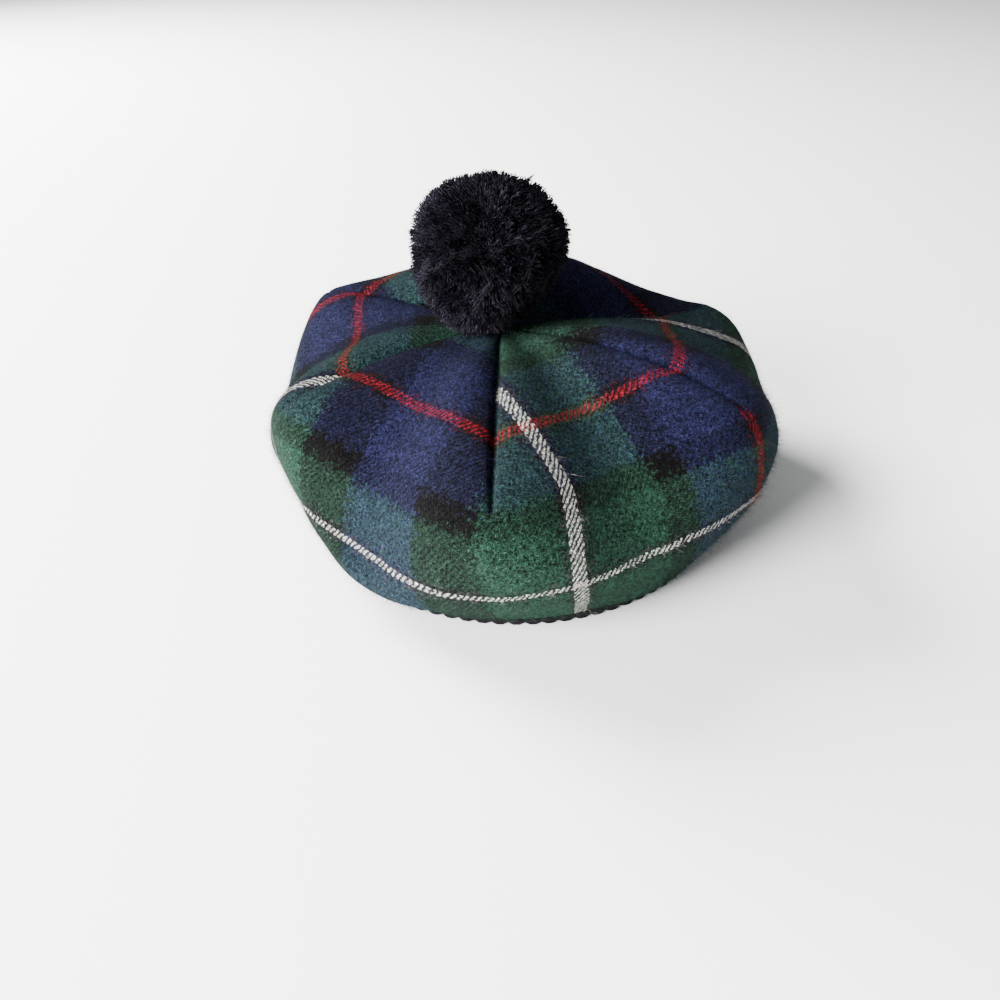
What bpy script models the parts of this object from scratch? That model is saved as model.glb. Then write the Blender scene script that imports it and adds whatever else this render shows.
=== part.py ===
import bpy
import bmesh
from collections import namedtuple
from math import sin, cos, pi, radians
from mathutils import Vector
from mathutils.bvhtree import BVHTree

# sizes in metres
headband_radius = 0.096
headband_wall = 0.0030
headband_height = 0.024
headband_show = 0.0068
rib_count = 88
rib_depth = 0.0005
edge_round = 0.0008

cloth_thickness = 0.0020
crown_overhang = 0.0218
crown_rise = 0.0721
apex_height = 0.0826
apex_back = 0.0025
apex_side = -0.0072
belly_depth = 0.0126
puff_height = 0.0334
seam_depth = 0.0078
panel_count = 6
columns_per_panel = 16

pompom_radius = 0.0345
lock_height = 0.0022
pompom_lift = 0.0320
pompom_side = -0.0029
piece_gap = 0.0003
pompom_gap = 0.0004
press_reach = 0.003

# the rim of the crown, seen from the headband's axis: where each direction swings to, then
# shares of the overhang, the rise, the belly and the puff; every second row is a seam
Rim = namedtuple("Rim", "angle swing overhang rise belly puff")
rim_rows = [
    Rim(0, -4.2, 1.00, 0.749, 0.44, 0.44),
    Rim(30, -3.6, 0.44, 0.524, 0.16, 0.32),
    Rim(60, -2.1, 0.63, 0.886, 0.64, 0.55),
    Rim(90, -0.6, 0.87, 0.535, 0.25, 0.47),
    Rim(120, 0.8, 0.82, 0.896, 1.00, 0.09),
    Rim(150, 1.7, 0.35, 0.379, 0.14, 1.00),
    Rim(180, 1.4, 0.69, 0.966, 0.88, 0.08),
    Rim(210, 0.7, 0.51, 0.349, 0.10, 0.96),
    Rim(240, -0.8, 0.52, 1.001, 0.65, 0.33),
    Rim(270, -2.4, 0.67, 0.346, 0.19, 0.56),
    Rim(300, -3.9, 0.40, 0.884, 0.28, 0.39),
    Rim(330, -4.7, 0.30, 0.440, 0.61, 0.48),
]

# the top between the rim and the apex: how much of the way out it lies, how far it has
# climbed to the apex, and its shares of the puff and of the seam's valley
Ring = namedtuple("Ring", "outward climb puff valley")
top_rows = [
    Ring(0.90, 0.30, 0.62, 0.40),
    Ring(0.66, 0.52, 1.00, 1.00),
    Ring(0.40, 0.76, 0.84, 0.90),
    Ring(0.17, 0.95, 0.30, 0.30),
]

# rows of cloth from the hem to the apex, as shares of the way
hem_to_apex = [0.0, 0.03, 0.08, 0.14, 0.20, 0.26, 0.32, 0.38, 0.44, 0.50,
               0.56, 0.62, 0.68, 0.74, 0.80, 0.86, 0.92, 0.96]


def spline_weights(x):
    return (-0.5 * x + x * x - 0.5 * x ** 3,
            1.0 - 2.5 * x * x + 1.5 * x ** 3,
            0.5 * x + 2.0 * x * x - 1.5 * x ** 3,
            -0.5 * x * x + 0.5 * x ** 3)


def around(rows, column, angle):
    count = len(rows)
    place = angle / (2.0 * pi) * count
    first = int(place)
    weights = spline_weights(place - first)
    total = 0.0
    for step, weight in enumerate(weights):
        total += weight * getattr(rows[(first - 1 + step) % count], column)
    return total


def along(points, place):
    first = min(int(place), len(points) - 2)
    weights = spline_weights(place - first)
    start = points[0] * 2.0 - points[1]
    end = points[-1] * 2.0 - points[-2]
    whole = [start] + points + [end]
    total = whole[first] * weights[0]
    for step in (1, 2, 3):
        total = total + whole[first + step] * weights[step]
    return total


def polar(radius, angle, height):
    return Vector((radius * sin(angle), -radius * cos(angle), height))


mouth_radius = headband_radius + piece_gap + cloth_thickness
apex = Vector((apex_side, apex_back, apex_height))


def meridian(angle):
    # points from the hem over the rim to the apex, and the valley's share at each
    edge = polar(mouth_radius, angle, headband_show)
    swing = radians(around(rim_rows, "swing", angle))
    reach = mouth_radius + crown_overhang * around(rim_rows, "overhang", angle)
    rise = crown_rise * around(rim_rows, "rise", angle)
    belly = belly_depth * around(rim_rows, "belly", angle)
    puff = puff_height * around(rim_rows, "puff", angle)
    rim = polar(reach, angle + swing, rise)
    wall = edge * 0.45 + rim * 0.55 + polar(belly, angle + 0.55 * swing, -0.35 * belly)
    points = [edge, wall, rim]
    valleys = [0.0, 0.0, 0.0]
    for ring in top_rows:
        point = apex.lerp(rim, ring.outward)
        point.z = rise + (apex.z - rise) * ring.climb + puff * ring.puff
        points.append(point)
        valleys.append(ring.valley)
    points.append(apex.copy())
    valleys.append(0.0)
    return points, valleys


def clear_of_band(spot):
    # up to the headband's top the cloth stays outside it
    level = (headband_height + 2.0 * cloth_thickness + 2.0 * press_reach - spot.z) / (2.0 * press_reach)
    radius = Vector((spot.x, spot.y)).length
    short = max(0.0, mouth_radius + piece_gap - radius) * min(1.0, max(0.0, level))
    return spot + Vector((spot.x, spot.y, 0.0)) * (short / radius if radius > 0.5 * mouth_radius else 0.0)


def drape(angle, shares):
    points, valleys = meridian(angle)
    closeness = (1.0 - abs(sin(0.5 * panel_count * angle))) ** 2
    fine = 12
    line = []
    for step in range((len(points) - 1) * fine + 1):
        place = step / fine
        low = min(int(place), len(points) - 2)
        valley = valleys[low] + (valleys[low + 1] - valleys[low]) * (place - low)
        spot = along(points, place)
        spot.z -= seam_depth * valley * closeness
        line.append(clear_of_band(spot))
    lengths = [0.0]
    for first, second in zip(line, line[1:]):
        lengths.append(lengths[-1] + (second - first).length)
    found = []
    step = 0
    for share in shares:
        wanted = share * lengths[-1]
        while step < len(lengths) - 2 and lengths[step + 1] < wanted:
            step += 1
        part = (wanted - lengths[step]) / (lengths[step + 1] - lengths[step])
        found.append(line[step].lerp(line[step + 1], part))
    return found


def make_crown():
    mesh = bmesh.new()
    columns = []
    for number in range(panel_count * columns_per_panel):
        angle = 2.0 * pi * number / (panel_count * columns_per_panel)
        columns.append([mesh.verts.new(spot) for spot in drape(angle, hem_to_apex)])
    top = mesh.verts.new(apex)
    for number, column in enumerate(columns):
        following = columns[(number + 1) % len(columns)]
        for row in range(len(column) - 1):
            mesh.faces.new((column[row], following[row], following[row + 1], column[row + 1]))
        mesh.faces.new((column[-1], following[-1], top))
    mesh.normal_update()
    return mesh


def make_headband():
    mesh = bmesh.new()
    outer = headband_radius
    inner = headband_radius - headband_wall
    profile = [(inner + edge_round, 0.0, 0.0),
               (outer - edge_round, 0.0, 0.4),
               (outer, edge_round, 1.0),
               (outer, headband_height - edge_round, 1.0),
               (outer - edge_round, headband_height, 0.4),
               (inner + edge_round, headband_height, 0.0),
               (inner, headband_height - edge_round, 0.0),
               (inner, edge_round, 0.0)]
    rings = []
    for number in range(rib_count * 2):
        angle = pi * number / rib_count
        groove = rib_depth * (number % 2)
        rings.append([mesh.verts.new(polar(radius - groove * share, angle, height))
                      for radius, height, share in profile])
    for number, ring in enumerate(rings):
        following = rings[(number + 1) % len(rings)]
        for row in range(len(profile)):
            after = (row + 1) % len(profile)
            mesh.faces.new((ring[row], following[row], following[after], ring[after]))
    mesh.normal_update()
    return mesh


def make_pompom(crown):
    # locks stand up from a ball whose underside is pressed to the crown
    surface = BVHTree.FromBMesh(crown)
    mesh = bmesh.new()
    bmesh.ops.create_icosphere(mesh, subdivisions=3, radius=pompom_radius - lock_height)
    poked = bmesh.ops.poke(mesh, faces=mesh.faces[:])
    for number, vert in enumerate(poked["verts"]):
        height = lock_height * (1.0 + 0.25 * sin(2.4 * number))
        vert.co += vert.co.normalized() * height
    centre = apex + Vector((pompom_side, 0.0, pompom_lift))
    for vert in mesh.verts:
        vert.co += centre
        for aside, back in ((0, 0), (1, 0), (-1, 0), (0, 1), (0, -1), (1, 1), (1, -1), (-1, 1), (-1, -1)):
            above = vert.co + Vector((aside * press_reach, back * press_reach, 8.0 * pompom_radius))
            hit = surface.ray_cast(above, Vector((0.0, 0.0, -1.0)))[0]
            if hit is not None:
                vert.co.z = max(vert.co.z, hit.z + pompom_gap)
    mesh.normal_update()
    return mesh


def add_material(name, colour, roughness):
    material = bpy.data.materials.new(name)
    material.use_nodes = True
    shader = material.node_tree.nodes["Principled BSDF"]
    shader.inputs["Base Color"].default_value = colour
    shader.inputs["Roughness"].default_value = roughness
    return material


def add_piece(name, mesh, material):
    for face in mesh.faces:
        face.smooth = True
    data = bpy.data.meshes.new(name)
    mesh.to_mesh(data)
    data.materials.append(material)
    piece = bpy.data.objects.new(name, data)
    bpy.context.scene.collection.objects.link(piece)
    return piece


for old in list(bpy.data.objects):
    bpy.data.objects.remove(old, do_unlink=True)

crown_mesh = make_crown()
headband_mesh = make_headband()
pompom_mesh = make_pompom(crown_mesh)

# the frame's origin is under the middle of the whole
every_spot = [vert.co for mesh in (crown_mesh, headband_mesh, pompom_mesh) for vert in mesh.verts]
middle_x = 0.5 * (min(spot.x for spot in every_spot) + max(spot.x for spot in every_spot))
middle_y = 0.5 * (min(spot.y for spot in every_spot) + max(spot.y for spot in every_spot))
for mesh in (crown_mesh, headband_mesh, pompom_mesh):
    bmesh.ops.translate(mesh, verts=mesh.verts[:], vec=(-middle_x, -middle_y, 0.0))

tartan_green = add_material("tartan_cloth", (0.03, 0.08, 0.07, 1.0), 0.9)
rib_navy = add_material("rib_knit", (0.012, 0.013, 0.022, 1.0), 0.9)
yarn_navy = add_material("pompom_yarn", (0.010, 0.011, 0.020, 1.0), 0.9)

crown = add_piece("crown", crown_mesh, tartan_green)
thicken = crown.modifiers.new("cloth", "SOLIDIFY")
thicken.thickness = cloth_thickness
thicken.offset = -1.0
thicken.use_even_offset = True
thicken.use_rim = True
add_piece("headband", headband_mesh, rib_navy)
add_piece("pompom", pompom_mesh, yarn_navy)
print("middle of the whole from the headband's axis:", round(middle_x, 5), round(middle_y, 5))
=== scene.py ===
import math
import bmesh
import bpy
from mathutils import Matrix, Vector, noise


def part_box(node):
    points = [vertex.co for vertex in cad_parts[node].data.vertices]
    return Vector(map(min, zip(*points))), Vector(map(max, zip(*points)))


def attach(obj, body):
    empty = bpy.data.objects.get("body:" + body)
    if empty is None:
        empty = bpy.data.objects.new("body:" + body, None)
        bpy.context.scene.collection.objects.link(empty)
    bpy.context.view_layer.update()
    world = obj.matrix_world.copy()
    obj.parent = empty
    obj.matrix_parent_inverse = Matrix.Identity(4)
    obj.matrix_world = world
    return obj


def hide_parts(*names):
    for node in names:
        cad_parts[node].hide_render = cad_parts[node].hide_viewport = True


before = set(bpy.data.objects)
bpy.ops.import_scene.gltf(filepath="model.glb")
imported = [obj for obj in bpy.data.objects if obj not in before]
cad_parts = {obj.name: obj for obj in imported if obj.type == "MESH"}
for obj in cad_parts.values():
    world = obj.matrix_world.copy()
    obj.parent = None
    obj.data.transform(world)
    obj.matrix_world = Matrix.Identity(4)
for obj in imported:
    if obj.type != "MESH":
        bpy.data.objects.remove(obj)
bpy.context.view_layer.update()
scene = bpy.context.scene

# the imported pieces' places, the camera and the light
bandLow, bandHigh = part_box("headband")
bandAxis = Vector(((bandLow.x + bandHigh.x) / 2, (bandLow.y + bandHigh.y) / 2, 0.0))
bandRadius = (bandHigh.x - bandLow.x) / 2
pompomLow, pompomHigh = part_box("pompom")

view = {"elevation": 36.0, "distance": 0.4155, "lens": 30.6, "shift": (-0.0164, -0.0152)}

studio = {
    "floor": (0.90, 0.90, 0.89, 1.0),
    "floorClouds": (0.88, 0.88, 0.87, 1.0),
    "floorReach": 4.0,
    "cloudScale": 1.5,
    "sky": (0.92, 0.93, 0.95, 1.0),
    "skyStrength": 0.42,
    "aim": (0.0, 0.0, 0.05),
    "key": {"place": (-0.98, -0.86, 0.68), "size": 0.8, "power": 121.0},
    "paper": {"place": (-1.3, 0.9, 1.0), "size": 1.2, "power": 215.0},
}


def setUpCamera():
    tilt = math.radians(view["elevation"])
    data = bpy.data.cameras.new("photoCamera")
    data.lens = view["lens"]
    data.sensor_width = 36.0
    data.clip_start = 0.01
    data.shift_x, data.shift_y = view["shift"]
    camera = bpy.data.objects.new("photoCamera", data)
    camera.location = bandAxis + view["distance"] * Vector((0.0, -math.cos(tilt), math.sin(tilt)))
    camera.rotation_euler = (math.pi / 2 - tilt, 0.0, 0.0)
    scene.collection.objects.link(camera)
    scene.camera = camera


def addSoftLight(name, settings):
    data = bpy.data.lights.new(name, "AREA")
    data.shape = "DISK"
    data.size = settings["size"]
    data.energy = settings["power"]
    light = bpy.data.objects.new(name, data)
    place = Vector(settings["place"])
    light.location = place
    light.rotation_euler = (Vector(studio["aim"]) - place).to_track_quat("-Z", "Y").to_euler()
    scene.collection.objects.link(light)
    return light


def newMaterial(name, roughness, specular):
    material = bpy.data.materials.new(name)
    material.use_nodes = True
    shader = material.node_tree.nodes["Principled BSDF"]
    shader.inputs["Roughness"].default_value = roughness
    shader.inputs["Specular IOR Level"].default_value = specular
    return material, material.node_tree, shader


def addNode(tree, kind, **values):
    node = tree.nodes.new(kind)
    for name, value in values.items():
        setattr(node, name, value)
    return node


def feed(tree, socket, value):
    # a socket takes a plain value, or what another socket gives
    if isinstance(value, bpy.types.NodeSocket):
        tree.links.new(value, socket)
    else:
        socket.default_value = value


def mathNode(tree, operation, *values):
    node = addNode(tree, "ShaderNodeMath", operation=operation)
    for place, value in enumerate(values):
        feed(tree, node.inputs[place], value)
    return node.outputs[0]


def vectorNode(tree, operation, *values):
    node = addNode(tree, "ShaderNodeVectorMath", operation=operation)
    for place, value in enumerate(values):
        feed(tree, node.inputs[place], value)
    return node.outputs[0]


def scaleNode(tree, vector, factor):
    node = addNode(tree, "ShaderNodeVectorMath", operation="SCALE")
    feed(tree, node.inputs[0], vector)
    feed(tree, node.inputs["Scale"], factor)
    return node.outputs[0]


def mixColour(tree, factor, first, second, blend="MIX"):
    node = addNode(tree, "ShaderNodeMix", data_type="RGBA", blend_type=blend)
    for place, value in ((0, factor), (6, first), (7, second)):
        feed(tree, node.inputs[place], value)
    return node.outputs[2]


def noiseNode(tree, spot, scale, detail=2.0, **values):
    node = addNode(tree, "ShaderNodeTexNoise", **values)
    tree.links.new(spot, node.inputs["Vector"])
    feed(tree, node.inputs["Scale"], scale)
    node.inputs["Detail"].default_value = detail
    return node


def mapRange(tree, value, found, wanted=(0.0, 1.0)):
    node = addNode(tree, "ShaderNodeMapRange")
    tree.links.new(value, node.inputs["Value"])
    node.inputs["From Min"].default_value, node.inputs["From Max"].default_value = found
    node.inputs["To Min"].default_value, node.inputs["To Max"].default_value = wanted
    return node.outputs[0]


def addBump(tree, shader, height, strength, distance):
    bump = addNode(tree, "ShaderNodeBump")
    bump.inputs["Strength"].default_value = strength
    bump.inputs["Distance"].default_value = distance
    tree.links.new(height, bump.inputs["Height"])
    tree.links.new(bump.outputs["Normal"], shader.inputs["Normal"])


def setUpStage():
    mesh = bmesh.new()
    bmesh.ops.create_grid(mesh, x_segments=1, y_segments=1, size=studio["floorReach"])
    data = bpy.data.meshes.new("studioFloor")
    mesh.to_mesh(data)
    mesh.free()
    floor = bpy.data.objects.new("studioFloor", data)
    scene.collection.objects.link(floor)
    material, tree, shader = newMaterial("floorPaint", roughness=0.7, specular=0.25)
    spot = addNode(tree, "ShaderNodeTexCoord")
    cloudy = noiseNode(tree, spot.outputs["Object"], studio["cloudScale"])
    tone = mixColour(tree, cloudy.outputs["Fac"], studio["floorClouds"], studio["floor"])
    tree.links.new(tone, shader.inputs["Base Color"])
    data.materials.append(material)
    world = bpy.data.worlds.new("paleRoom")
    world.use_nodes = True
    sky = world.node_tree.nodes["Background"]
    sky.inputs["Color"].default_value = studio["sky"]
    sky.inputs["Strength"].default_value = studio["skyStrength"]
    scene.world = world
    addSoftLight("keyLight", studio["key"])
    # this light keeps the floor pale and leaves the hat to the key
    paperLight = addSoftLight("paperLight", studio["paper"])
    receivers = bpy.data.collections.new("paperReceivers")
    receivers.objects.link(floor)
    paperLight.light_linking.receiver_collection = receivers


setUpCamera()
setUpStage()
print("stage and camera ready")

# the crown: one strip of tartan with six darts, draped from the hem over the rim to the apex;
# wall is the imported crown's and sets the mouth, and thickness is this cloth's own
crownCloth = {
    "thickness": 0.0018,
    "hem": 0.0068,
    "gap": 0.0003,
    "wall": 0.0020,
    "reach": 0.003,
    "overhang": 0.0218,
    "rise": 0.0721,
    "apex": (-0.0072, 0.0025, 0.0826),
    "belly": 0.0126,
    "bellyDrop": 0.35,
    "wallMix": (0.45, 0.55),
    "puff": 0.0334,
    "valley": 0.0078,
    "panels": 6,
    "panelColumns": 52,
    "rows": 120,
    "lineSteps": 12,
    "dartDepth": 0.1108,
    "dartHeight": 0.0715,
    "seamGroove": 0.0026,
    "seamWidth": 0.0010,
    "seamShares": (1.0, 0.30, 0.25, 0.25, 0.25, 0.25),
    "seamAtApex": 0.40,
    "seamPast": 0.005,
    "seamFade": 0.006,
    "roll": {"height": 0.0002, "place": 0.0045, "width": 0.003},
    "crowding": (0.22, 0.78),
    "dentScale": 22.0,
    "dentFiner": 2.7,
    "dentShift": (5.0, 1.0, 3.0),
    "dents": (0.0009, 0.0005),
    "clearOfTable": 0.001,
}

# the rim, one row for each direction: its angle, its swing, and its shares of the overhang, rise,
# belly and puff; every second row is a seam
rimRows = [
    (0, -4.2, 1.00, 0.749, 0.44, 0.44),
    (30, -3.6, 0.44, 0.524, 0.16, 0.32),
    (60, -2.1, 0.63, 0.886, 0.64, 0.55),
    (90, -0.6, 0.87, 0.535, 0.25, 0.47),
    (120, 0.8, 0.82, 0.896, 1.00, 0.09),
    (150, 1.7, 0.35, 0.379, 0.14, 1.00),
    (180, 1.4, 0.69, 0.966, 0.88, 0.08),
    (210, 0.7, 0.51, 0.349, 0.10, 0.96),
    (240, -0.8, 0.52, 1.001, 0.65, 0.33),
    (270, -2.4, 0.67, 0.346, 0.19, 0.56),
    (300, -3.9, 0.40, 0.884, 0.28, 0.39),
    (330, -4.7, 0.30, 0.440, 0.61, 0.48),
]

# how far out, how far climbed to the apex, and shares of the puff and of the seam's valley
topRows = [
    (0.90, 0.30, 0.62, 0.40),
    (0.66, 0.52, 1.00, 1.00),
    (0.40, 0.76, 0.84, 0.90),
    (0.17, 0.95, 0.30, 0.30),
]


def splineWeights(x):
    # how much each of four points in a row counts, part of the way from the second to the third
    return (-0.5 * x + x * x - 0.5 * x ** 3, 1.0 - 2.5 * x * x + 1.5 * x ** 3,
            0.5 * x + 2.0 * x * x - 1.5 * x ** 3, -0.5 * x * x + 0.5 * x ** 3)


def aroundRim(column, angle):
    place = angle / (2.0 * math.pi) * len(rimRows)
    first = math.floor(place)
    return sum(weight * rimRows[(first - 1 + step) % len(rimRows)][column]
               for step, weight in enumerate(splineWeights(place - first)))


def polar(radius, angle, height):
    return Vector((radius * math.sin(angle), -radius * math.cos(angle), height))


def clearOfBand(spot):
    # up to the headband's top the cloth stays outside it
    wall, reach, gap = crownCloth["wall"], crownCloth["reach"], crownCloth["gap"]
    mouth = bandRadius + gap + wall
    level = (bandHigh.z + 2.0 * wall + 2.0 * reach - spot.z) / (2.0 * reach)
    radius = math.hypot(spot.x, spot.y)
    short = max(0.0, mouth + gap - radius) * min(1.0, max(0.0, level))
    return spot + Vector((spot.x, spot.y, 0.0)) * (short / radius if radius > 0.5 * mouth else 0.0)


def meridianLine(angle):
    # the cloth's line from the hem over the rim to the apex, and its length up to each step
    cloth = crownCloth
    mouth = bandRadius + cloth["gap"] + cloth["wall"]
    apex = Vector(cloth["apex"])
    swing = math.radians(aroundRim(1, angle))
    reach = mouth + cloth["overhang"] * aroundRim(2, angle)
    rise = cloth["rise"] * aroundRim(3, angle)
    belly = cloth["belly"] * aroundRim(4, angle)
    puff = cloth["puff"] * aroundRim(5, angle)
    edge = polar(mouth, angle, cloth["hem"])
    rim = polar(reach, angle + swing, rise)
    nearEdge, nearRim = cloth["wallMix"]
    wall = edge * nearEdge + rim * nearRim
    wall = wall + polar(belly, angle + nearRim * swing, -cloth["bellyDrop"] * belly)
    points = [edge, wall, rim]
    valleys = [0.0, 0.0, 0.0]
    for outward, climb, puffShare, valley in topRows:
        point = apex.lerp(rim, outward)
        point.z = rise + (apex.z - rise) * climb + puff * puffShare
        points.append(point)
        valleys.append(valley)
    points.append(apex)
    valleys.append(0.0)
    whole = [points[0] * 2.0 - points[1]] + points + [points[-1] * 2.0 - points[-2]]
    near = (1.0 - abs(math.sin(0.5 * cloth["panels"] * angle))) ** 2
    line = []
    for step in range((len(points) - 1) * cloth["lineSteps"] + 1):
        place = step / cloth["lineSteps"]
        low = min(int(place), len(points) - 2)
        weights = splineWeights(place - low)
        spot = whole[low] * weights[0]
        for offset in (1, 2, 3):
            spot = spot + whole[low + offset] * weights[offset]
        valley = valleys[low] + (valleys[low + 1] - valleys[low]) * (place - low)
        spot.z -= cloth["valley"] * valley * near
        line.append(clearOfBand(spot))
    lengths = [0.0]
    for first, second in zip(line, line[1:]):
        lengths.append(lengths[-1] + (second - first).length)
    return line, lengths


def spotAlong(line, lengths, share):
    wanted = share * lengths[-1]
    step = 0
    while step < len(lengths) - 2 and lengths[step + 1] < wanted:
        step += 1
    part = (wanted - lengths[step]) / (lengths[step + 1] - lengths[step])
    return line[step].lerp(line[step + 1], part)


def clothPlace(angle, panel, share):
    # where a point lies in the flat strip: along the hem, and up from the hem
    cloth = crownCloth
    wide = 2.0 * math.pi / cloth["panels"]
    lean = angle - (panel + 0.5) * wide
    tall = cloth["dartDepth"] * math.cos(wide / 2)
    travelled = share * (cloth["dartHeight"] + tall / math.cos(lean))
    # the strip's ends meet at the back
    fromFront = panel if panel < cloth["panels"] / 2 else panel - cloth["panels"]
    middle = (fromFront + 0.5) * cloth["dartDepth"]
    if travelled < cloth["dartHeight"]:
        return middle + tall * math.tan(lean), travelled
    left = cloth["dartHeight"] + tall / math.cos(lean) - travelled
    return middle + left * math.sin(lean), cloth["dartHeight"] + tall - left * math.cos(lean)


def crowdedAngle(share):
    # columns stand closer together beside the seams
    wide = 2.0 * math.pi / crownCloth["panels"]
    panel = min(int(share * crownCloth["panels"]), crownCloth["panels"] - 1)
    across = 2.0 * (share * crownCloth["panels"] - panel) - 1.0
    even, crowded = crownCloth["crowding"]
    moved = even * across + crowded * math.sin(0.5 * math.pi * across)
    return (panel + 0.5 + 0.5 * moved) * wide


def makeCrown():
    cloth = crownCloth
    columns = cloth["panels"] * cloth["panelColumns"]
    mesh = bmesh.new()
    bmesh.ops.create_grid(mesh, x_segments=columns, y_segments=cloth["rows"], size=0.5)
    layer = mesh.loops.layers.uv.new("strip")
    lines = {}
    places = {}
    for vert in mesh.verts:
        column = round((vert.co.x + 0.5) * columns)
        places[vert] = (column, crowdedAngle(column / columns), vert.co.y + 0.5)
    for face in mesh.faces:
        panel = int((face.calc_center_median().x + 0.5) * cloth["panels"])
        for loop in face.loops:
            column, angle, share = places[loop.vert]
            loop[layer].uv = clothPlace(angle, panel, share)
    for vert in mesh.verts:
        column, angle, share = places[vert]
        if column not in lines:
            lines[column] = meridianLine(angle % (2.0 * math.pi))
        vert.co = bandAxis + spotAlong(*lines[column], share)
    bmesh.ops.remove_doubles(mesh, verts=mesh.verts[:], dist=0.00002)
    bmesh.ops.dissolve_degenerate(mesh, dist=0.00001, edges=mesh.edges[:])
    bmesh.ops.recalc_face_normals(mesh, faces=mesh.faces[:])
    mesh.normal_update()
    shapeCloth(mesh, layer)
    return mesh


def seamNumber(vert):
    # the seam nearest to a point, counted from the front
    spot = vert.co - bandAxis - Vector(crownCloth["apex"])
    return math.atan2(spot.x, -spot.y) / (2.0 * math.pi) * crownCloth["panels"]


def shapeCloth(mesh, layer):
    # the seams sink between rolled edges, and the cloth has small soft dents
    cloth = crownCloth
    depth = cloth["dartDepth"]
    half = math.pi / cloth["panels"]
    tall = depth * math.cos(half)
    roll = cloth["roll"]
    atApex = cloth["seamAtApex"]
    large, small = cloth["dents"]
    dentShift = Vector(cloth["dentShift"])
    moves = {}
    for vert in mesh.verts:
        offset = 0.0
        if vert.link_loops:
            across, up = vert.link_loops[0][layer].uv
            left = cloth["dartHeight"] + tall - up
            middle = (math.floor(across / depth) + 0.5) * depth
            toSeam = abs((left * math.tan(half) - abs(across - middle)) * math.cos(half))
            alongSeam = math.hypot(across - middle, left)
            seam = round(across / depth) if alongSeam > 0.5 * depth else round(seamNumber(vert))
            share = cloth["seamShares"][seam % cloth["panels"]]
            share *= atApex + (1.0 - atApex) * min(1.0, alongSeam / depth) ** 2
            sewn = max(0.0, min(1.0, (depth + cloth["seamPast"] - alongSeam) / cloth["seamFade"]))
            if up > cloth["dartHeight"] - cloth["seamPast"]:
                groove = math.exp(-(toSeam / cloth["seamWidth"]) ** 2)
                offset -= share * cloth["seamGroove"] * sewn * groove
                edge = math.exp(-((toSeam - roll["place"]) / roll["width"]) ** 2)
                offset += roll["height"] * sewn * edge
        spot = vert.co * cloth["dentScale"]
        offset += large * noise.noise(spot) + small * noise.noise(spot * cloth["dentFiner"] + dentShift)
        moves[vert] = vert.normal * offset
    for vert, move in moves.items():
        if vert.co.z + move.z > cloth["clearOfTable"]:
            vert.co += move


def finishPiece(name, mesh, materials):
    for face in mesh.faces:
        face.smooth = True
    data = bpy.data.meshes.new(name)
    mesh.to_mesh(data)
    mesh.free()
    for material in materials:
        data.materials.append(material)
    piece = bpy.data.objects.new(name, data)
    scene.collection.objects.link(piece)
    return piece


# the setts, in threads, each from the middle of a red line to the middle of the next wide stripe
tartan = {
    "acrossPitch": 0.00054,
    "upPitch": 0.00072,
    "warpShare": 0.10,
    "redAcross": 0.1094,
    "redUp": 0.0993,
    "acrossSett": [("red", 4), ("black", 6), ("blue", 51), ("black", 20), ("green", 56), ("black", 5),
                   ("white", 10), ("black", 5), ("green", 55), ("black", 46), ("blue", 32)],
    "upSett": [("red", 3), ("black", 3), ("blue", 33), ("black", 16), ("green", 30), ("black", 4),
               ("white", 3), ("black", 3), ("green", 54)],
    "colours": {
        "red": (0.22, 0.006, 0.013, 1.0),
        "black": (0.0022, 0.0016, 0.0015, 1.0),
        "blue": (0.0112, 0.0118, 0.047, 1.0),
        "green": (0.0138, 0.0460, 0.0268, 1.0),
        "white": (0.60, 0.60, 0.54, 1.0),
    },
}


def newGroup(name, inputs, outputs):
    group = bpy.data.node_groups.new(name, "ShaderNodeTree")
    for socketName, kind in inputs:
        group.interface.new_socket(socketName, in_out="INPUT", socket_type=kind)
    for socketName, kind in outputs:
        group.interface.new_socket(socketName, in_out="OUTPUT", socket_type=kind)
    start = group.nodes.new("NodeGroupInput")
    end = group.nodes.new("NodeGroupOutput")
    return group, start, end


def makeStripeGroup(name, sett):
    # the colour of one thread, from its place across the stripes
    group, start, end = newGroup(name, [("Thread", "NodeSocketFloat")], [("Color", "NodeSocketColor")])
    total = sum(count for _, count in sett)
    folded = mathNode(group, "PINGPONG", start.outputs["Thread"], float(total))
    share = mathNode(group, "DIVIDE", folded, float(total))
    ramp = addNode(group, "ShaderNodeValToRGB")
    ramp.color_ramp.interpolation = "CONSTANT"
    elements = ramp.color_ramp.elements
    place = 0
    for number, (colour, count) in enumerate(sett):
        # a new ramp has two stops already
        if number < 2:
            element = elements[number]
            element.position = place / total
        else:
            element = elements.new(place / total)
        element.color = tartan["colours"][colour]
        place += count
    group.links.new(share, ramp.inputs["Fac"])
    group.links.new(ramp.outputs["Color"], end.inputs["Color"])
    return group


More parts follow.
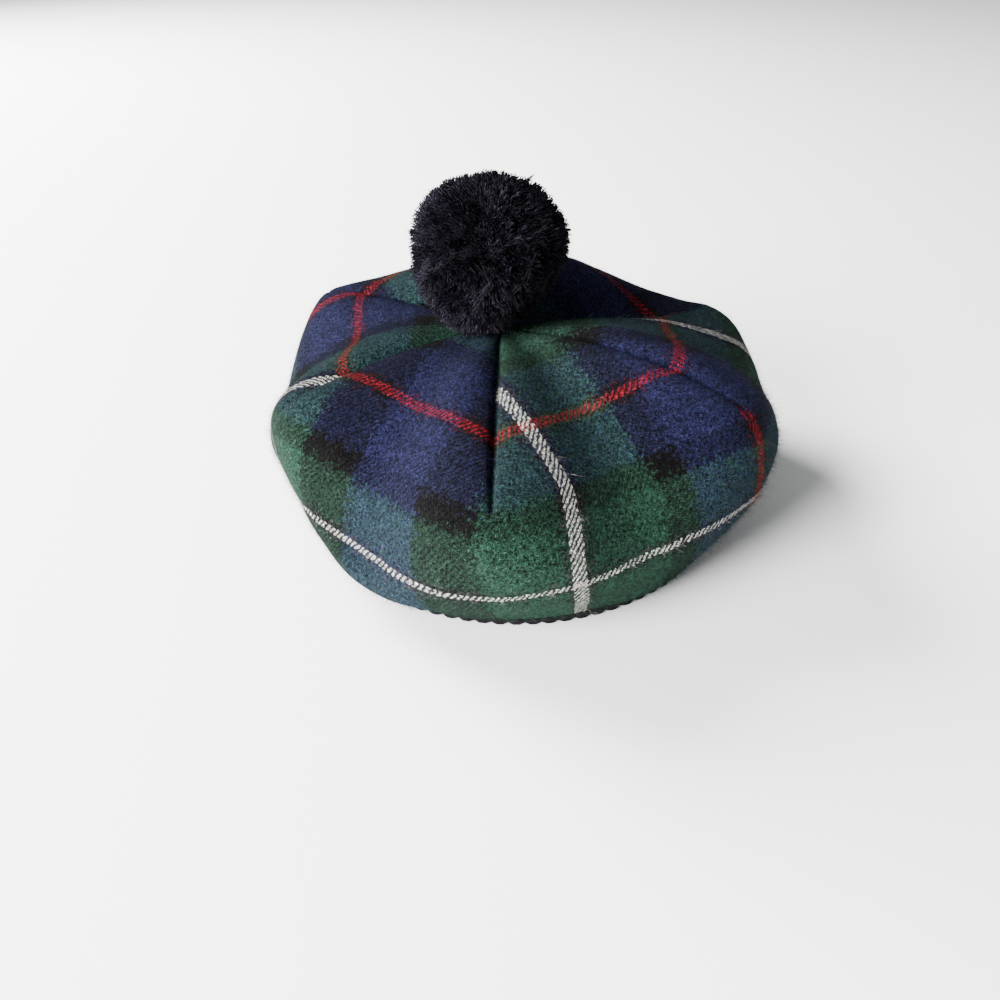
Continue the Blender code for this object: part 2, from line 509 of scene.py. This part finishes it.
def makeTwillGroup(warpStripe, weftStripe):
    # threads over and under each other, two by two, one step along at each row
    group, start, end = newGroup(
        "tartanTwill",
        [("Cloth", "NodeSocketVector"), ("Across Pitch", "NodeSocketFloat"),
         ("Up Pitch", "NodeSocketFloat"), ("Crispness", "NodeSocketFloat")],
        [("Color", "NodeSocketColor"), ("Height", "NodeSocketFloat")])
    split = addNode(group, "ShaderNodeSeparateXYZ")
    group.links.new(start.outputs["Cloth"], split.inputs[0])
    runs = []
    for output, red, pitch in ((0, "redAcross", "Across Pitch"), (1, "redUp", "Up Pitch")):
        fromRed = mathNode(group, "SUBTRACT", split.outputs[output], tartan[red])
        runs.append(mathNode(group, "DIVIDE", fromRed, start.outputs[pitch]))
    indexes = [mathNode(group, "FLOOR", run) for run in runs]
    colours = []
    for index, stripe in zip(indexes, (warpStripe, weftStripe)):
        node = addNode(group, "ShaderNodeGroup", node_tree=stripe)
        group.links.new(mathNode(group, "ADD", index, 0.5), node.inputs["Thread"])
        colours.append(node.outputs["Color"])
    # of every four steps, the warp is on top for two
    step = mathNode(group, "FLOORED_MODULO", mathNode(group, "SUBTRACT", indexes[0], indexes[1]), 4.0)
    warpOver = mathNode(group, "LESS_THAN", step, 1.5)
    rounds = []
    for run in runs:
        turned = mathNode(group, "MULTIPLY", mathNode(group, "FRACT", run), math.pi)
        rounds.append(mathNode(group, "SINE", turned))
    high = addNode(group, "ShaderNodeMix", data_type="FLOAT")
    group.links.new(warpOver, high.inputs[0])
    group.links.new(rounds[1], high.inputs[2])
    group.links.new(rounds[0], high.inputs[3])
    centred = mathNode(group, "SUBTRACT", warpOver, 0.5)
    even = 0.5 + tartan["warpShare"]
    blended = mathNode(group, "MULTIPLY_ADD", centred, start.outputs["Crispness"], even)
    colour = mixColour(group, blended, colours[1], colours[0])
    group.links.new(colour, end.inputs["Color"])
    group.links.new(high.outputs[0], end.inputs["Height"])
    return group


def placeTwill(tree, place, crispness):
    # the twill group with this cloth's own pitches
    node = addNode(tree, "ShaderNodeGroup", node_tree=twillGroup)
    tree.links.new(place, node.inputs["Cloth"])
    node.inputs["Across Pitch"].default_value = tartan["acrossPitch"]
    node.inputs["Up Pitch"].default_value = tartan["upPitch"]
    node.inputs["Crispness"].default_value = crispness
    return node


def strayed(tree, place, spot, scale, reach):
    # cloth coordinates that wander, as fibres pulled out of their thread do
    wobble = noiseNode(tree, spot, scale)
    centred = vectorNode(tree, "SUBTRACT", wobble.outputs["Color"], (0.5, 0.5, 0.5))
    return vectorNode(tree, "MULTIPLY_ADD", centred, (reach, reach, 0.0), place)


warpStripe = makeStripeGroup("acrossStripe", tartan["acrossSett"])
weftStripe = makeStripeGroup("upStripe", tartan["upSett"])
twillGroup = makeTwillGroup(warpStripe, weftStripe)


# two sets of lines, each with its share of the scale and its curl, over clouds of depth
fibrePattern = {
    "lines": ((1.0, 0.9), (1.7, 0.6)),
    "lineShift": 3.7,
    "secondLine": 0.8,
    "depthScale": 1.3,
    "depths": (0.33, 0.67),
}


def makeFibreGroup():
    # thin curly lines, as loose wool fibres lie on a surface, and the dark between them
    pattern = fibrePattern
    group, start, end = newGroup(
        "woolFibres",
        [("Spot", "NodeSocketVector"), ("Scale", "NodeSocketFloat"), ("Width", "NodeSocketFloat")],
        [("Line", "NodeSocketFloat"), ("Depth", "NodeSocketFloat")])
    spot = start.outputs["Spot"]
    lines = []
    for number, (share, curl) in enumerate(pattern["lines"]):
        scale = mathNode(group, "MULTIPLY", start.outputs["Scale"], share)
        curly = noiseNode(group, spot, scale, 1.0, noise_dimensions="4D")
        curly.inputs["W"].default_value = pattern["lineShift"] * number
        curly.inputs["Distortion"].default_value = curl
        away = mathNode(group, "ABSOLUTE", mathNode(group, "SUBTRACT", curly.outputs["Fac"], 0.5))
        gone = mathNode(group, "MINIMUM", mathNode(group, "DIVIDE", away, start.outputs["Width"]), 1.0)
        lines.append(mathNode(group, "SUBTRACT", 1.0, gone))
    fainter = mathNode(group, "MULTIPLY", lines[1], pattern["secondLine"])
    group.links.new(mathNode(group, "MAXIMUM", lines[0], fainter), end.inputs["Line"])
    scale = mathNode(group, "MULTIPLY", start.outputs["Scale"], pattern["depthScale"])
    deep = noiseNode(group, spot, scale)
    group.links.new(mapRange(group, deep.outputs["Fac"], pattern["depths"]), end.inputs["Depth"])
    return group


fibreGroup = makeFibreGroup()


def placeFibres(tree, spot, scale, width):
    node = addNode(tree, "ShaderNodeGroup", node_tree=fibreGroup)
    tree.links.new(spot, node.inputs["Spot"])
    node.inputs["Scale"].default_value = scale
    node.inputs["Width"].default_value = width
    return node


# the cloth's finish: crisp threads under a brushed layer of strayed fibres, with a pale veil that is
# partly pale fibres and partly painted sheen;
# the colour carries painted light and shade from the fibres' line and depth and the threads' height; line
# and depth are the fibre group's, and height is the twill's
clothFinish = {
    "sheen": {"Sheen Weight": 0.02, "Sheen Roughness": 0.5, "Sheen Tint": (0.9, 0.95, 1.0, 1.0)},
    "crisp": {"scale": 500.0, "reach": 0.0018, "crispness": 1.1},
    "brushed": {"scale": 560.0, "reach": 0.0240, "crispness": 0.5},
    "palestBrushed": (0.042, 0.042, 0.042, 1.0),
    "fibreScale": 600.0,
    "fibreWidth": 0.038,
    "patchScale": 60.0,
    "redKept": 3.4,
    "mostKept": 0.80,
    "lineBrushing": 0.45,
    "patchBrushing": 1.20,
    "mostBrushing": 0.93,
    "paleFibresAndSheen": 0.011,
    "paleFibresAndSheenColour": (0.30, 0.33, 0.33, 1.0),
    "lineLight": 1.9,
    "depthLight": 0.95,
    "leastThreadShade": 0.25,
    "lineRelief": 0.8,
    "bump": (0.8, 0.0005),
}


def makeTartanCloth():
    finish = clothFinish
    material, tree, shader = newMaterial("tartanCloth", roughness=0.9, specular=0.03)
    for name, value in finish["sheen"].items():
        shader.inputs[name].default_value = value
    place = addNode(tree, "ShaderNodeUVMap", uv_map="strip")
    spot = addNode(tree, "ShaderNodeTexCoord")
    layers = []
    for layer in (finish["crisp"], finish["brushed"]):
        wandering = strayed(tree, place.outputs[0], spot.outputs["Object"], layer["scale"], layer["reach"])
        layers.append(placeTwill(tree, wandering, layer["crispness"]))
    threads = layers[0].outputs["Color"]
    threadHeight = layers[0].outputs["Height"]
    fibres = placeFibres(tree, spot.outputs["Object"], finish["fibreScale"], finish["fibreWidth"])
    line = fibres.outputs["Line"]
    depth = fibres.outputs["Depth"]
    patchy = noiseNode(tree, spot.outputs["Object"], finish["patchScale"])
    # white and red threads stay on top of the nap
    parts = addNode(tree, "ShaderNodeSeparateColor")
    tree.links.new(threads, parts.inputs[0])
    kept = mathNode(tree, "MULTIPLY", parts.outputs["Red"], finish["redKept"])
    kept = mathNode(tree, "MINIMUM", kept, finish["mostKept"])
    patches = mathNode(tree, "MULTIPLY", patchy.outputs["Fac"], finish["patchBrushing"])
    brushing = mathNode(tree, "MULTIPLY_ADD", line, finish["lineBrushing"], patches)
    brushing = mathNode(tree, "MINIMUM", brushing, finish["mostBrushing"])
    brushing = mathNode(tree, "MULTIPLY", brushing, mathNode(tree, "SUBTRACT", 1.0, kept))
    dulled = mixColour(tree, 1.0, layers[1].outputs["Color"], finish["palestBrushed"], "DARKEN")
    mingled = mixColour(tree, brushing, threads, dulled)
    # a pale veil along the fibre lines: partly pale fibres, partly painted sheen
    paleFibresAndSheen = mathNode(tree, "MULTIPLY", line, finish["paleFibresAndSheen"])
    withFibresAndSheen = mixColour(tree, paleFibresAndSheen, mingled, finish["paleFibresAndSheenColour"])
    # painted light and shade: fibre lines painted brighter, the clouds of depth between them painted
    # darker, and each thread painted darker towards its rounded edges
    deepLight = mathNode(tree, "MULTIPLY", depth, finish["depthLight"])
    light = mathNode(tree, "MULTIPLY_ADD", line, finish["lineLight"], deepLight)
    shade = mathNode(tree, "ADD", threadHeight, finish["leastThreadShade"])
    tone = mathNode(tree, "MULTIPLY", light, shade)
    tree.links.new(scaleNode(tree, withFibresAndSheen, tone), shader.inputs["Base Color"])
    relief = mathNode(tree, "ADD", depth, threadHeight)
    relief = mathNode(tree, "MULTIPLY_ADD", line, finish["lineRelief"], relief)
    addBump(tree, shader, relief, *finish["bump"])
    return material


tartanCloth = makeTartanCloth()
crown = finishPiece("crownCloth", makeCrown(), [tartanCloth])
clothWall = crown.modifiers.new("clothWall", "SOLIDIFY")
clothWall.thickness = crownCloth["thickness"]
clothWall.offset = -1.0
clothWall.use_even_offset = False
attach(crown, "root")
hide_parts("crown")
print("crown draped:", len(crown.data.polygons), "faces")

# the nap: short fibres that lie on the cloth and stand off its outline
napSizes = (0.55, 1.35)
napKinds = {
    "napFibres": {"density": 800000.0, "length": 0.0019, "width": 0.00007, "bend": 0.0006,
                  "lift": 0.45, "seed": 3, "sizes": napSizes},
    "longFibres": {"density": 300000.0, "length": 0.0036, "width": 0.00006, "bend": 0.0022,
                   "lift": 0.45, "seed": 8, "sizes": napSizes},
    "strayFibres": {"density": 30000.0, "length": 0.0062, "width": 0.00006, "bend": 0.0042,
                    "lift": 0.60, "seed": 12, "sizes": napSizes},
}
napFinish = {
    "crispness": 1.15,
    "palest": (0.20, 0.20, 0.19, 1.0),
    "paleFibresAndSheen": 0.009,
    "paleFibresAndSheenColour": (0.30, 0.34, 0.34, 1.0),
    "cloudScale": 620.0,
    "clouds": (0.38, 0.64),
    "lights": (0.10, 2.3),
}


def scatterGroup(name, sprig, settings, centre=None):
    # sprigs on every face, turned out from the surface or from a centre; each random value has a
    # seed of its own
    group = bpy.data.node_groups.new(name, "GeometryNodeTree")
    group.interface.new_socket("Geometry", in_out="INPUT", socket_type="NodeSocketGeometry")
    group.interface.new_socket("Geometry", in_out="OUTPUT", socket_type="NodeSocketGeometry")
    start = group.nodes.new("NodeGroupInput")
    end = group.nodes.new("NodeGroupOutput")
    spread = addNode(group, "GeometryNodeDistributePointsOnFaces", distribute_method="RANDOM")
    spread.inputs["Density"].default_value = settings["density"]
    spread.inputs["Seed"].default_value = settings["seed"]
    group.links.new(start.outputs[0], spread.inputs["Mesh"])
    source = addNode(group, "GeometryNodeObjectInfo")
    source.inputs["Object"].default_value = sprig
    loose = addNode(group, "FunctionNodeRandomValue", data_type="FLOAT_VECTOR")
    loose.inputs[0].default_value = (-1.0, -1.0, -1.0)
    loose.inputs[1].default_value = (1.0, 1.0, 1.0)
    loose.inputs["Seed"].default_value = settings["seed"] + 11
    away = spread.outputs["Normal"]
    if centre is not None:
        place = addNode(group, "GeometryNodeInputPosition")
        away = vectorNode(group, "SUBTRACT", place.outputs[0], centre)
    raised = scaleNode(group, vectorNode(group, "NORMALIZE", away), settings["lift"])
    heading = vectorNode(group, "ADD", raised, loose.outputs[0])
    if "sway" in settings:
        # neighbours lean the same way, so that the yarn parts into locks
        wind = addNode(group, "ShaderNodeTexNoise")
        wind.inputs["Scale"].default_value = settings["swayScale"]
        even = vectorNode(group, "SUBTRACT", wind.outputs["Color"], (0.5, 0.5, 0.5))
        heading = vectorNode(group, "MULTIPLY_ADD", even, (settings["sway"],) * 3, heading)
    turn = addNode(group, "FunctionNodeAlignRotationToVector", axis="Z")
    group.links.new(heading, turn.inputs["Vector"])
    size = addNode(group, "FunctionNodeRandomValue", data_type="FLOAT")
    size.inputs[2].default_value, size.inputs[3].default_value = settings["sizes"]
    size.inputs["Seed"].default_value = settings["seed"] + 23
    plant = addNode(group, "GeometryNodeInstanceOnPoints")
    group.links.new(spread.outputs["Points"], plant.inputs["Points"])
    group.links.new(source.outputs["Geometry"], plant.inputs["Instance"])
    group.links.new(turn.outputs[0], plant.inputs["Rotation"])
    group.links.new(size.outputs[1], plant.inputs["Scale"])
    real = addNode(group, "GeometryNodeRealizeInstances")
    group.links.new(plant.outputs[0], real.inputs[0])
    group.links.new(real.outputs[0], end.inputs[0])
    return group


def scatter(name, emitter, sprig, settings, material, centre=None):
    group = scatterGroup(name + "Scatter", sprig, settings, centre)
    spread = emitter.modifiers.new("scatter", "NODES")
    spread.node_group = group
    bpy.context.view_layer.update()
    shown = emitter.evaluated_get(bpy.context.evaluated_depsgraph_get())
    data = bpy.data.meshes.new_from_object(shown)
    data.name = name
    emitter.modifiers.remove(spread)
    data.materials.clear()
    data.materials.append(material)
    piece = bpy.data.objects.new(name, data)
    scene.collection.objects.link(piece)
    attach(piece, "root")
    data.calc_loop_triangles()
    print(name, "has", len(data.loop_triangles), "triangles")
    return piece


def dropHelper(helper):
    bpy.data.objects.remove(helper, do_unlink=True)


def makeFibre(name, settings):
    # a flat hair that tapers from its root and bends over
    mesh = bmesh.new()
    bmesh.ops.create_grid(mesh, x_segments=1, y_segments=2 if settings["bend"] > 0.001 else 1, size=0.5)
    tips = []
    for vert in mesh.verts:
        along = vert.co.y + 0.5
        aside = vert.co.x * settings["width"] * (1.0 - 0.6 * along)
        if along > 0.99:
            aside = 0.0
            tips.append(vert)
        vert.co = Vector((settings["bend"] * along ** 2, aside, settings["length"] * along))
    bmesh.ops.remove_doubles(mesh, verts=tips, dist=0.000001)
    return finishPiece(name, mesh, [])


def makeNapMaterial():
    # each fibre takes the colour of the thread that it stands on, lighter or darker by its place
    finish = napFinish
    material, tree, shader = newMaterial("woolNap", roughness=0.9, specular=0.03)
    place = addNode(tree, "ShaderNodeAttribute", attribute_name="strip")
    spot = addNode(tree, "ShaderNodeTexCoord")
    twill = placeTwill(tree, place.outputs["Vector"], finish["crispness"])
    cloudy = noiseNode(tree, spot.outputs["Object"], finish["cloudScale"])
    dulled = mixColour(tree, 1.0, twill.outputs["Color"], finish["palest"], "DARKEN")
    # a faint pale veil over every fibre: partly pale fibres, partly painted sheen
    withFibresAndSheen = mixColour(tree, finish["paleFibresAndSheen"], dulled, finish["paleFibresAndSheenColour"])
    light = mapRange(tree, cloudy.outputs["Fac"], finish["clouds"], finish["lights"])
    tree.links.new(scaleNode(tree, withFibresAndSheen, light), shader.inputs["Base Color"])
    return material


# the wall is off while the nap is planted, so that fibres grow on the cloth's outer side only
clothWall.show_viewport = False
napMaterial = makeNapMaterial()
for fibreName, fibreSettings in napKinds.items():
    fibre = makeFibre(fibreName + "Root", fibreSettings)
    nap = scatter(fibreName, crown, fibre, fibreSettings, napMaterial)
    dropHelper(fibre)
clothWall.show_viewport = True
print("nap planted")

# the headband: knitted ribs, each a column of stitches
headbandKnit = {
    "ribs": 88,
    "ribDepth": 0.0008,
    "ribRoundness": 0.7,
    "columnsPerRib": 6,
    "rows": 30,
    "rowCrowding": 1.3,
    "stitch": 0.0030,
    "stitchDepth": 0.00035,
    "stitchSlant": 1.1,
    "wall": 0.0026,
    "inset": 0.0003,
    "scallop": {"depth": 0.0004, "part": 5.0},
    "edge": {"depth": 0.0008, "part": 20.0},
    "yarnDark": (0.0024, 0.0018, 0.0028, 1.0),
    "yarnPale": (0.020, 0.016, 0.022, 1.0),
    "fibreScale": 700.0,
    "fibreWidth": 0.06,
    "bump": (0.5, 0.0003),
}


def makeHeadband():
    knit = headbandKnit
    scallop = knit["scallop"]
    edge = knit["edge"]
    mesh = bmesh.new()
    columns = knit["ribs"] * knit["columnsPerRib"]
    bmesh.ops.create_grid(mesh, x_segments=columns, y_segments=knit["rows"], size=0.5)
    height = bandHigh.z - bandLow.z
    for vert in mesh.verts:
        around = vert.co.x + 0.5
        up = (vert.co.y + 0.5) ** knit["rowCrowding"]
        ribPlace = around * knit["ribs"]
        ridge = abs(math.cos(math.pi * ribPlace))
        side = abs((ribPlace + 0.5) % 1.0 - 0.5)
        level = bandLow.z + up * height
        level += scallop["depth"] * (1.0 - ridge) * max(0.0, 1.0 - up * scallop["part"])
        stitch = math.sin(2.0 * math.pi * (level / knit["stitch"] + knit["stitchSlant"] * side))
        radius = bandRadius - knit["inset"] - knit["ribDepth"] * (1.0 - ridge ** knit["ribRoundness"])
        radius += knit["stitchDepth"] * stitch * ridge - edge["depth"] * max(0.0, 1.0 - up * edge["part"])
        vert.co = bandAxis + polar(radius, 2.0 * math.pi * around, level)
    bmesh.ops.remove_doubles(mesh, verts=mesh.verts[:], dist=0.00001)
    bmesh.ops.recalc_face_normals(mesh, faces=mesh.faces[:])
    mesh.normal_update()
    outer = mesh.faces[0]
    # the faces look outward, since the wall grows inward
    if (outer.calc_center_median() - bandAxis).to_2d().dot(outer.normal.to_2d()) < 0:
        bmesh.ops.reverse_faces(mesh, faces=mesh.faces[:])
    return mesh


def makeRibYarn():
    knit = headbandKnit
    material, tree, shader = newMaterial("ribYarn", roughness=0.7, specular=0.08)
    spot = addNode(tree, "ShaderNodeTexCoord")
    fibres = placeFibres(tree, spot.outputs["Object"], knit["fibreScale"], knit["fibreWidth"])
    tone = mathNode(tree, "MULTIPLY", fibres.outputs["Line"], fibres.outputs["Depth"])
    colour = mixColour(tree, tone, knit["yarnDark"], knit["yarnPale"])
    tree.links.new(colour, shader.inputs["Base Color"])
    addBump(tree, shader, fibres.outputs["Line"], *knit["bump"])
    return material


headband = finishPiece("knittedHeadband", makeHeadband(), [makeRibYarn()])
knitWall = headband.modifiers.new("knitWall", "SOLIDIFY")
knitWall.thickness = headbandKnit["wall"]
knitWall.offset = -1.0
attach(headband, "root")
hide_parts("headband")
print("headband knitted")

# the pompom: tufts of cut yarn round a heart that is painted dark as painted shade, trimmed unevenly
pompomYarn = {
    "tufts": {"density": 340000.0, "lift": 1.9, "seed": 5, "length": 0.0100, "thickness": 0.00021,
              "rootThickness": 0.7, "strands": 6, "turn": 2.399, "fan": 0.0021, "uneven": 0.0016,
              "sway": 6.0, "swayScale": 110.0, "sizes": (0.85, 1.08)},
    "hairs": {"density": 900000.0, "lift": 1.2, "seed": 17, "length": 0.0036, "width": 0.00012,
              "bend": 0.0009, "sway": 4.0, "swayScale": 110.0, "sizes": (0.6, 1.2)},
    "lumps": 0.0016,
    "strandScale": 55.0,
    "strandTones": (0.46, 0.70),
    # tips: painted shade, darkest at the first distance from the centre and gone at the second
    "tips": (0.027, 0.036),
    "yarnDark": (0.0022, 0.0020, 0.0032, 1.0),
    "yarnPale": (0.044, 0.037, 0.062, 1.0),
    "heart": 0.0080,
    "outside": 0.0002,
    "trims": [((0.71, -0.42, -0.57), 0.62, -0.0085), ((-0.78, 0.37, 0.51), 0.55, 0.0030),
              ((-0.40, -0.45, -0.80), 0.50, 0.0015), ((0.95, 0.10, 0.30), 0.40, 0.0012)],
}
pompomCentre = (pompomLow + pompomHigh) / 2


def pompomForm(name, inset):
    # the pressed ball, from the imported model's own, set in, eased smooth and trimmed unevenly;
    # each trim has a direction, a reach in radians and a depth
    mesh = bmesh.new()
    mesh.from_mesh(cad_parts["pompom"].data)
    bmesh.ops.remove_doubles(mesh, verts=mesh.verts[:], dist=0.00002)
    for _ in range(3):
        bmesh.ops.smooth_vert(mesh, verts=mesh.verts[:], factor=0.5,
                              use_axis_x=True, use_axis_y=True, use_axis_z=True)
    mesh.normal_update()
    lumps = pompomYarn["lumps"]
    for vert in mesh.verts:
        outward = (vert.co - pompomCentre).normalized()
        trim = -inset
        for direction, reach, depth in pompomYarn["trims"]:
            trim += depth * math.exp(-(outward.angle(Vector(direction)) / reach) ** 2)
        trim += lumps * noise.noise(outward * 3.1) + lumps * noise.noise(outward * 7.0)
        vert.co += outward * trim
    return finishPiece(name, mesh, [])


def makeTuft():
    # cut strands that fan out from one knot and end at the surface
    yarn = pompomYarn["tufts"]
    mesh = bmesh.new()
    for number in range(yarn["strands"]):
        turn = yarn["turn"] * number
        root = yarn["thickness"] * yarn["rootThickness"]
        made = bmesh.ops.create_cone(mesh, segments=3, radius1=root, radius2=yarn["thickness"],
                                     depth=yarn["length"], cap_ends=False)
        for vert in made["verts"]:
            high = vert.co.z / yarn["length"] + 0.5
            aside = yarn["fan"] * high * math.sqrt((number + 0.4) / yarn["strands"])
            vert.co.x += aside * math.cos(turn)
            vert.co.y += aside * math.sin(turn)
            vert.co.z = (high - 1.0) * yarn["length"] + yarn["uneven"] * math.sin(1.9 * number) * high
    return finishPiece("yarnTuft", mesh, [])


def makeTuftMaterial():
    # each strand has one random tone of its own, and the yarn is painted darker towards the heart, as
    # painted shade inside the ball
    material, tree, shader = newMaterial("pompomYarn", roughness=0.6, specular=0.10)
    spot = addNode(tree, "ShaderNodeTexCoord")
    fromCentre = vectorNode(tree, "SUBTRACT", spot.outputs["Object"], pompomCentre)
    outward = vectorNode(tree, "NORMALIZE", fromCentre)
    strands = noiseNode(tree, outward, pompomYarn["strandScale"], 1.0)
    length = addNode(tree, "ShaderNodeVectorMath", operation="LENGTH")
    tree.links.new(fromCentre, length.inputs[0])
    # painted shade: the yarn is darkest near the heart and palest at the strands' outer ends
    tips = mapRange(tree, length.outputs["Value"], pompomYarn["tips"])
    strandTones = mapRange(tree, strands.outputs["Fac"], pompomYarn["strandTones"])
    tone = mathNode(tree, "MULTIPLY", tips, strandTones)
    colour = mixColour(tree, tone, pompomYarn["yarnDark"], pompomYarn["yarnPale"])
    tree.links.new(colour, shader.inputs["Base Color"])
    return material


tuftMaterial = makeTuftMaterial()
# the heart is set in so far that it is painted darkest, as painted shade deep in the ball
heart = pompomForm("pompomHeart", pompomYarn["heart"])
heart.data.materials.append(tuftMaterial)
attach(heart, "root")
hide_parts("pompom")
outside = pompomForm("pompomOutside", pompomYarn["outside"])
yarnHair = makeFibre("yarnHair", pompomYarn["hairs"])
for yarnName, sprig, key in (("pompomTufts", makeTuft(), "tufts"), ("pompomHairs", yarnHair, "hairs")):
    tufts = scatter(yarnName, outside, sprig, pompomYarn[key], tuftMaterial, pompomCentre)
    dropHelper(sprig)
dropHelper(outside)
print("pompom tied")
